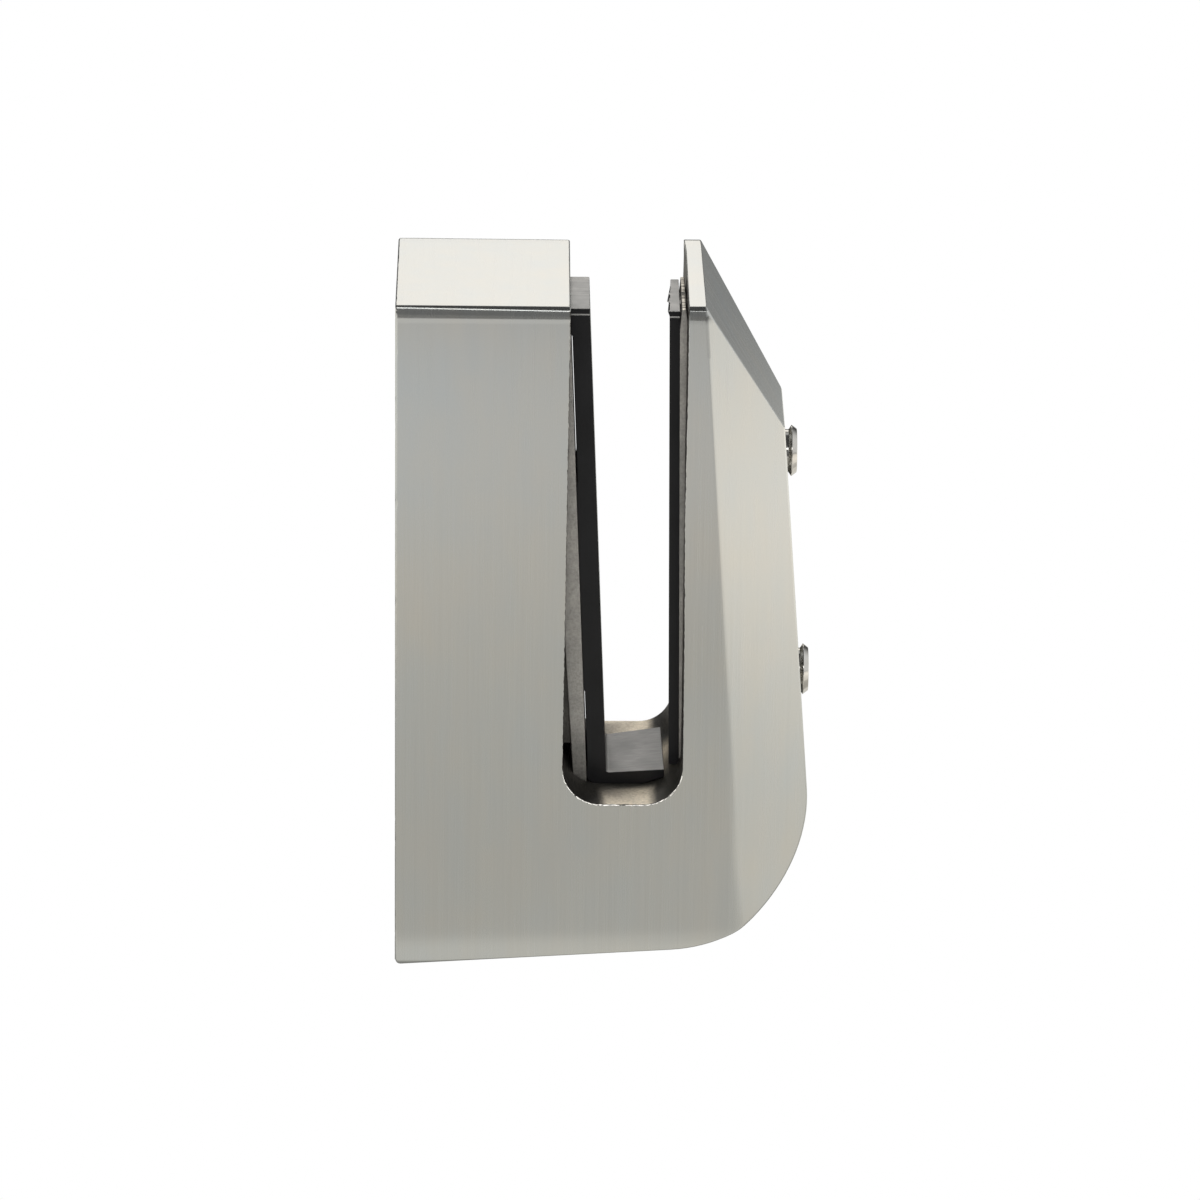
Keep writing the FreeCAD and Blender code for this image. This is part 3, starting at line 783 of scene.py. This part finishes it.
liner_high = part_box("glass_liner")[1]
liner_thickness = 4.6 * MM / math.cos(math.radians(2.1))
foot_top = slot_floor + 2.9 * MM
foot_lift = 0.88 * MM
foot_twist = 1.1 * MM
foot_root = liner_back(foot_top) + liner_thickness
foot_end = liner_high.x
corner_start = slot_front - slot_corner
toe_rise = slot_corner - math.sqrt(slot_corner ** 2 - (foot_end - corner_start) ** 2) + 0.15 * MM
liner_heel_round = 2.0 * MM
inner_round = 0.8 * MM
liner_round = 0.2 * MM
slit = 0.31 * MM
slit_skew = -0.14 * MM
slits = [(60.5 * MM, 59.5 * MM, 24 * MM, 22.5 * MM), (-28 * MM, -29 * MM, -47 * MM, -49 * MM)]
liner_shape = bar_from_outline([
    (liner_back(liner_high.z), liner_high.z),
    (liner_back(liner_high.z) + liner_thickness, liner_high.z),
    (foot_root, foot_top),
    (foot_end, foot_top + foot_lift),
    (foot_end, slot_floor + toe_rise),
    (corner_start, slot_floor),
    (liner_heel, slot_floor),
], liner_high.y)
round_edges(liner_shape, edges_through(liner_shape, liner_heel, slot_floor), liner_heel_round, 6)
round_edges(liner_shape, edges_through(liner_shape, foot_root, foot_top), inner_round, 4)
round_edges(liner_shape, sharp_edges(liner_shape, 25), liner_round, 3)
for levels in slits:
    for level in levels:
        score_line(liner_shape, (0, 0, level), (0, 0, 1))
narrowing = 0.9 * MM
narrow_length = 40 * MM
for vert in liner_shape.verts:
    to_far_side = (vert.co.y + liner_high.y) / (2 * liner_high.y)
    in_slit = any(levels[2] - margin < vert.co.z < levels[1] + margin for levels in slits)
    if in_slit and vert.co.x < liner_back(vert.co.z) + 0.5 * MM:
        vert.co.x += (slit if vert.co.z > 0 else 0.9 * slit) + slit_skew * to_far_side
    towards_top = max((vert.co.z - liner_high.z + narrow_length) / narrow_length, 0)
    if vert.co.y > 0:
        vert.co.y -= narrowing * towards_top
    along_foot = (vert.co.x - foot_root) / (foot_end - foot_root)
    if vert.co.z > foot_top - MM and 0 < along_foot < 1.1:
        vert.co.z += foot_twist * along_foot * to_far_side
        vert.co.x -= 0.5 * foot_twist * along_foot * to_far_side


def raise_lip(shape, top, half):
    """Set the last of a strip's narrow sides back by a hair, as the knife leaves it at the cut end."""
    lip_height = 1.3 * MM
    lip_ledge = 0.30 * MM
    lip_depth = 0.16 * MM
    for level in (top - lip_height, top - lip_height - lip_ledge):
        score_line(shape, (0, 0, level), (0, 0, 1))
    for vert in shape.verts:
        if vert.co.z > top - lip_height - 0.01 * MM and abs(vert.co.y) > half - lip_depth:
            vert.co.y -= math.copysign(lip_depth, vert.co.y)


def mark_upward_faces(piece, least_rise):
    """Faces that look up take the second finish: the cut or sheared ends, and on the rubber painted light
    from above as well.
    """
    for face in piece.data.polygons:
        face.material_index = 1 if face.normal.z > least_rise else 0


# The lip's ledge looks up, so it takes the grey top finish and shows as a thin light line under the top
# edge: a painted highlight.
raise_lip(liner_shape, liner_high.z, liner_high.y)
liner = shape_to_object("rubber_liner", liner_shape)
mark_upward_faces(liner, 0.3)
smooth_shading(liner, 25)
dress(liner, [rubber, cut_and_toplit_rubber], "spigot", "glass_liner")

# Pressure plate: a thin bar of raw stainless against the nose, on which both clamp screws bear.
# Its ends are bevelled, and a notch at its top holds the front pad's peg.
pressure_low, pressure_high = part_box("pressure_plate")
end_bevel_depth = 0.4 * MM
toe_bevel_depth = 0.16 * MM
end_bevel_length = 2.6 * MM
top_relief = 0.45 * MM
top_relief_length = 5.0 * MM
toe_lean = 1.15 * MM
clamp_round = 0.15 * MM


def clamp_lean(level):
    """How far the clamp's pieces lean to the nose at a level: not at the top, most at the toe."""
    return toe_lean * (pressure_high.z - level) / (pressure_high.z - pressure_low.z)


pressure_shape = bar_from_outline([
    (pressure_low.x + toe_lean, pressure_low.z),
    (pressure_low.x, pressure_high.z - top_relief_length),
    (pressure_low.x + top_relief, pressure_high.z),
    (pressure_high.x - end_bevel_depth, pressure_high.z),
    (pressure_high.x, pressure_high.z - end_bevel_length),
    (pressure_high.x, pressure_low.z + end_bevel_length),
    (pressure_high.x - toe_bevel_depth, pressure_low.z),
], pressure_high.y)
round_edges(pressure_shape, sharp_edges(pressure_shape, 15), clamp_round, 2)
pressure = shape_to_object("pressure_bar", pressure_shape)
notch_half_width = 1.3 * MM
notch_depth = 4.0 * MM
work_with(pressure, bar_from_outline([
    (pressure_low.x - MM, pressure_high.z - notch_depth),
    (pressure_low.x - MM, pressure_high.z + MM),
    (pressure_high.x + MM, pressure_high.z + MM),
    (pressure_high.x + MM, pressure_high.z - notch_depth),
], notch_half_width), "DIFFERENCE")
sheared, tree, shader = new_material("sheared_stainless")
object_place = object_coordinates(tree)
shear_marks = noise(tree, stretched(tree, object_place, (0.1, 1, 1)), 1300, 2.0, 0.5)
bright_share = remap(tree, shear_marks, 0.42, 0.55, 0.0, 1.0)
feed(tree, shader, {
    "Base Color": blend_colours(tree, bright_share, (0.14, 0.125, 0.10, 1), (0.82, 0.77, 0.68, 1)),
    "Metallic": 0.9,
    "Roughness": remap(tree, shear_marks, 0.3, 0.7, 0.3, 0.45),
})
mark_upward_faces(pressure, 0.5)
smooth_shading(pressure, 50)
dress(pressure, [bar_steel, sheared], "clamp", "pressure_plate")

# Front pad: a strip of the same black rubber on the pressure plate's glass side, with bits of
# moulding flash along its top edge and a peg that hangs it in the plate's notch.
pad_low, pad_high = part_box("front_pad")
pad_thickness = pressure_low.x - pad_low.x + 0.05 * MM
pad_shape = bar_from_outline([
    (pressure_low.x + clamp_lean(pad_low.z) - pad_thickness, pad_low.z),
    (pressure_low.x - pad_thickness, pad_high.z),
    (pressure_low.x + clamp_lean(pad_high.z), pad_high.z),
    (pressure_low.x + clamp_lean(pad_low.z), pad_low.z),
], pad_high.y)
top_edge = edges_through(pad_shape, pressure_low.x - pad_thickness, pad_high.z)
bmesh.ops.subdivide_edges(pad_shape, edges=top_edge, cuts=47)
round_edges(pad_shape, sharp_edges(pad_shape, 30), clamp_round, 2)
raise_lip(pad_shape, pad_high.z, pad_high.y)
pad_skew = 0.55 * MM
flash_height = 0.3 * MM
flash_width = 0.55 * MM
flash_nubs = [(1.2 * MM, 0.45 * MM), (-4.4 * MM, 0.65 * MM), (-2.8 * MM, 0.3 * MM), (-11.3 * MM, 0.4 * MM)]
for vert in pad_shape.verts:
    glass_side = vert.co.x < pressure_low.x - 0.7 * pad_thickness + clamp_lean(vert.co.z)
    if glass_side:
        vert.co.x += pad_skew * (vert.co.y + pad_high.y) / (2 * pad_high.y)
    if glass_side and vert.co.z > pad_high.z - flash_height:
        for along, reach in flash_nubs:
            vert.co.x -= reach * math.exp(-((vert.co.y - along) / flash_width) ** 2)
peg_gap = 0.15 * MM
peg_sink = 1.6 * MM
peg_half_width = notch_half_width - peg_gap
peg_shape = bar_from_outline([
    (pressure_low.x - MM, pressure_high.z - notch_depth + peg_gap),
    (pressure_low.x - MM, pad_high.z - peg_sink),
    (pad_high.x, pad_high.z - peg_sink),
    (pad_high.x, pressure_high.z - notch_depth + peg_gap),
], peg_half_width)
round_edges(peg_shape, sharp_edges(peg_shape, 30), clamp_round, 2)
peg_mesh = bpy.data.meshes.new("peg")
peg_shape.to_mesh(peg_mesh)
peg_shape.free()
pad_shape.from_mesh(peg_mesh)
bpy.data.meshes.remove(peg_mesh)
pad = shape_to_object("front_rubber_pad", pad_shape)
# Up-facing faces take the grey top finish, part cut end and part painted light from above.
mark_upward_faces(pad, 0.3)
smooth_shading(pad, 25)
dress(pad, [rubber, cut_and_toplit_rubber], "clamp", "front_pad")

# Clamp screws: two turned and polished stainless screws with a thin flared rim and a hex socket.
# They run through the tapped nose and push the pressure plate towards the glass.
polished, tree, shader = new_material("polished_stainless")
object_place = object_coordinates(tree)
turning = noise(tree, stretched(tree, object_place, (1, 0.02, 0.02)), 9000, 2.0, 0.5)
tone = use_pattern(tree, tone_group, object_place, 200)
feed(tree, shader, {
    "Base Color": blend_colours(tree, tone, (0.60, 0.57, 0.52, 1), (0.70, 0.68, 0.64, 1)),
    "Metallic": 1.0,
    "Roughness": remap(tree, turning, 0.3, 0.7, 0.10, 0.20),
    "Normal": relief(tree, turning, 0.1, 0.02 * MM),
})

thread_radius = 5.0 * MM
tip_bevel = 0.8 * MM
rim_flare = 0.65 * MM
rim_land = 0.1 * MM
rim_bevel = 1.2 * MM
rim_face_radius = 5.1 * MM
socket_reach = 5.0 * MM / math.sqrt(3)
socket_depth = 4.5 * MM
screw_round = 0.12 * MM
turn_steps = 72


def turned_screw(node):
    """Spin the screw's half profile about its axis, then sink the hex socket into its face."""
    low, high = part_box(node)
    axis = Vector((low.x, 0, (low.z + high.z) / 2))
    rim_radius = high.y
    rim_end = high.x - rim_bevel
    rim_start = rim_end - rim_land
    neck_end = rim_start - rim_flare
    half_profile = [
        (low.x, 0),
        (low.x, thread_radius - tip_bevel),
        (low.x + tip_bevel, thread_radius),
        (neck_end, thread_radius),
        (rim_start, rim_radius),
        (rim_end, rim_radius),
        (high.x, rim_face_radius),
        (high.x, 0),
    ]
    shape = bmesh.new()
    line = [shape.verts.new((x, 0, axis.z + radius)) for x, radius in half_profile]
    edges = [shape.edges.new(pair) for pair in zip(line, line[1:])]
    bmesh.ops.spin(shape, geom=line + edges, cent=axis, axis=(1, 0, 0), dvec=(0, 0, 0),
                   angle=2 * math.pi, steps=turn_steps, use_merge=True)
    bmesh.ops.remove_doubles(shape, verts=shape.verts, dist=0.001 * MM)
    bmesh.ops.recalc_face_normals(shape, faces=shape.faces)
    round_edges(shape, sharp_edges(shape, 25), screw_round, 3)
    screw = shape_to_object(node.replace("_clamp", "_turned"), shape)
    socket = drill(socket_reach, high.x - socket_depth, high.x + socket_depth, axis.z, 6)
    work_with(screw, socket, "DIFFERENCE")
    return screw


for node, body in (("upper_clamp_screw", "upper_screw"), ("lower_clamp_screw", "lower_screw")):
    screw = turned_screw(node)
    smooth_shading(screw, 30)
    dress(screw, [polished], body, node)

# Studio: a pale floor under a broad white backdrop, with soft lamps overhead, behind and by the camera.
# The room behind the camera is left dark, so the upright steel reads mid grey against the white.
floor_size = 8.0
floor_shape = bmesh.new()
bmesh.ops.create_grid(floor_shape, x_segments=2, y_segments=2, size=floor_size / 2,
                      matrix=Matrix.Translation((0, 0, cast_bottom)))
floor = shape_to_object("floor", floor_shape)


def soft_step(tree, value, low, high):
    """0 below one value, 1 above another, and a smooth change between them."""
    stepped = add_node(tree, "ShaderNodeMapRange", {"Value": value, "From Min": low, "From Max": high},
                       interpolation_type="SMOOTHSTEP")
    return stepped.outputs["Result"]


def overlap(tree, first, second):
    return math_node(tree, "MULTIPLY", first, second)


def add_zones(tree, base, zones):
    """A base brightness with each zone's own brightness added where that zone lies."""
    total = base
    for zone, strength in zones:
        total = math_node(tree, "MULTIPLY_ADD", zone, strength, total)
    return total


pale, tree, shader = new_material("pale_floor")
feed(tree, shader, {"Base Color": (0.8, 0.8, 0.79, 1), "Roughness": 0.9, "Specular IOR Level": 0.1})
light_path = add_node(tree, "ShaderNodeLightPath")
object_place = object_coordinates(tree)
floor_place = add_node(tree, "ShaderNodeSeparateXYZ", {0: object_place})
floor_x, floor_y = floor_place.outputs["X"], floor_place.outputs["Y"]
floor_aside = math_node(tree, "ABSOLUTE", floor_y)
to_right = overlap(tree, soft_step(tree, floor_x, 0.13, 0.48), soft_step(tree, floor_y, -0.38, -0.21))
to_left = soft_step(tree, floor_x, -0.10, -0.30)
to_rear = soft_step(tree, floor_y, 0.48, 0.82)
to_front = soft_step(tree, floor_y, -0.47, -0.66)
distant = soft_step(tree, floor_y, -0.08, -0.44)
nearest = soft_step(tree, floor_aside, 0.045, 0.031)
underneath = soft_step(tree, floor_aside, 0.0266, 0.0254)
beside = overlap(tree, soft_step(tree, floor_x, 0.08, 0.14), soft_step(tree, floor_y, -0.13, -0.07))
lane = overlap(tree, soft_step(tree, floor_x, 0.045, 0.08), soft_step(tree, floor_y, -0.15, -0.24))
# The metal sees the floor as painted light and shade, not as the lamps light it. It shows pools of light to
# the right, left and beside the nose, a painted shadow right under the casting, and darker stretches far to
# the front and the rear.
lit = add_zones(tree, 0.59, [
    (to_right, 0.58),
    (to_left, 0.3),
    (beside, 0.20),
    (lane, -0.11),
    (underneath, -0.40),
    (distant, 0.19),
    (nearest, 0.14),
    (to_rear, -1.05),
    (to_front, -0.54),
])
lit = math_node(tree, "MAXIMUM", lit, 0.04)
cool = soft_step(tree, floor_y, -0.18, -0.42)
tint = blend_colours(tree, cool, (1.0, 0.985, 0.925, 1), (1.0, 1.0, 0.985, 1))
tint = blend_colours(tree, to_right, tint, (1.0, 0.975, 0.92, 1))
tint = blend_colours(tree, to_rear, tint, (0.97, 0.99, 0.97, 1))
mirrored = add_node(tree, "ShaderNodeEmission", {"Color": tint, "Strength": lit})
white = add_node(tree, "ShaderNodeEmission", {"Color": (1, 1, 1, 1), "Strength": 1.0})
in_metal = add_node(tree, "ShaderNodeMixShader", {0: light_path.outputs["Is Glossy Ray"],
                                                  1: shader.outputs[0], 2: mirrored.outputs[0]})
shown = add_node(tree, "ShaderNodeMixShader", {0: light_path.outputs["Is Camera Ray"],
                                               1: in_metal.outputs[0], 2: white.outputs[0]})
feed(tree, tree.nodes["Material Output"], {"Surface": shown.outputs[0]})
floor.data.materials.append(pale)

world = bpy.data.worlds.new("studio")
bpy.context.scene.world = world
world.use_nodes = True
tree = world.node_tree
background = tree.nodes["Background"]
sight_line = add_node(tree, "ShaderNodeTexCoord").outputs["Generated"]
direction = add_node(tree, "ShaderNodeSeparateXYZ", {0: sight_line})
x_way, y_way, z_way = (direction.outputs[name] for name in ("X", "Y", "Z"))
aside = math_node(tree, "ABSOLUTE", x_way)
behind = overlap(tree, soft_step(tree, y_way, 0.1, 0.6), soft_step(tree, aside, 0.42, 0.14))
backdrop = overlap(tree, behind, soft_step(tree, z_way, 0.68, 0.52))
backdrop = overlap(tree, backdrop, soft_step(tree, z_way, 0.17, 0.26))
over_camera = overlap(tree, soft_step(tree, z_way, 0.39, 0.43), soft_step(tree, z_way, 0.58, 0.52))
softbox = overlap(tree, over_camera, soft_step(tree, y_way, -0.55, -0.70))
ceiling = overlap(tree, soft_step(tree, z_way, 0.6, 0.75), soft_step(tree, y_way, 0.05, -0.10))
skylight = overlap(tree, soft_step(tree, z_way, 0.62, 0.80), soft_step(tree, y_way, 0.36, 0.46))
to_right = soft_step(tree, x_way, 0.4, 0.9)
wall_ahead = overlap(tree, soft_step(tree, z_way, 0.36, 0.26), soft_step(tree, y_way, -0.5, -0.7))
room = add_zones(tree, 0.08, [
    (to_right, 0.75),
    (ceiling, -0.02),
    (skylight, 0.5),
    (wall_ahead, 0.11),
    (softbox, 2.3),
    (backdrop, 1.31),
])
light_path = add_node(tree, "ShaderNodeLightPath")
in_view = light_path.outputs["Is Camera Ray"]
wall_tint = blend_colours(tree, backdrop, (0.97, 0.99, 1.0, 1), (1.0, 0.98, 0.945, 1))
feed(tree, background, {"Color": blend_colours(tree, in_view, wall_tint, (1, 1, 1, 1)),
                        "Strength": math_node(tree, "MAXIMUM", in_view, room)})


def soft_lamp(name, place, target, size, power, colour):
    lamp = bpy.data.lights.new(name, "AREA")
    lamp.shape = "SQUARE"
    lamp.size = size
    lamp.energy = power
    lamp.color = colour
    held = bpy.data.objects.new(name, lamp)
    held.location = place
    held.rotation_euler = (Vector(target) - Vector(place)).to_track_quat("-Z", "Y").to_euler()
    held.visible_glossy = False
    bpy.context.scene.collection.objects.link(held)


soft_lamp("overhead_lamp", (0.1, -0.2, 1.1), (0.05, 0, 0), 0.9, 8, (1.0, 0.99, 0.97))
soft_lamp("rear_lamp", (0.062, 0.6, 0.9), (0.062, 0, -0.05), 0.3, 6.5, (1.0, 0.98, 0.95))
soft_lamp("camera_lamp", (0.052, -0.85, 1.0), (0.052, 0, -0.02), 0.25, 14, (1.0, 0.97, 0.92))

camera_lens = 241.6
camera_place = Vector((28.55, -1772.72, 675.11)) * MM
camera_down = math.radians(21.14)
camera_yaw = math.radians(0.628)
camera_roll = math.radians(0.601)
camera_data = bpy.data.cameras.new("photo_camera")
camera_data.lens = camera_lens
camera_data.sensor_width = 36.0
camera_data.clip_start = 0.05
camera_data.clip_end = 50.0
camera = bpy.data.objects.new("photo_camera", camera_data)
camera.matrix_world = (Matrix.Translation(camera_place)
                       @ Matrix.Rotation(-camera_yaw, 4, "Z")
                       @ Matrix.Rotation(math.pi / 2 - camera_down, 4, "X")
                       @ Matrix.Rotation(camera_roll, 4, "Z"))
bpy.context.scene.collection.objects.link(camera)
bpy.context.scene.camera = camera
bpy.context.scene.view_settings.view_transform = "Standard"
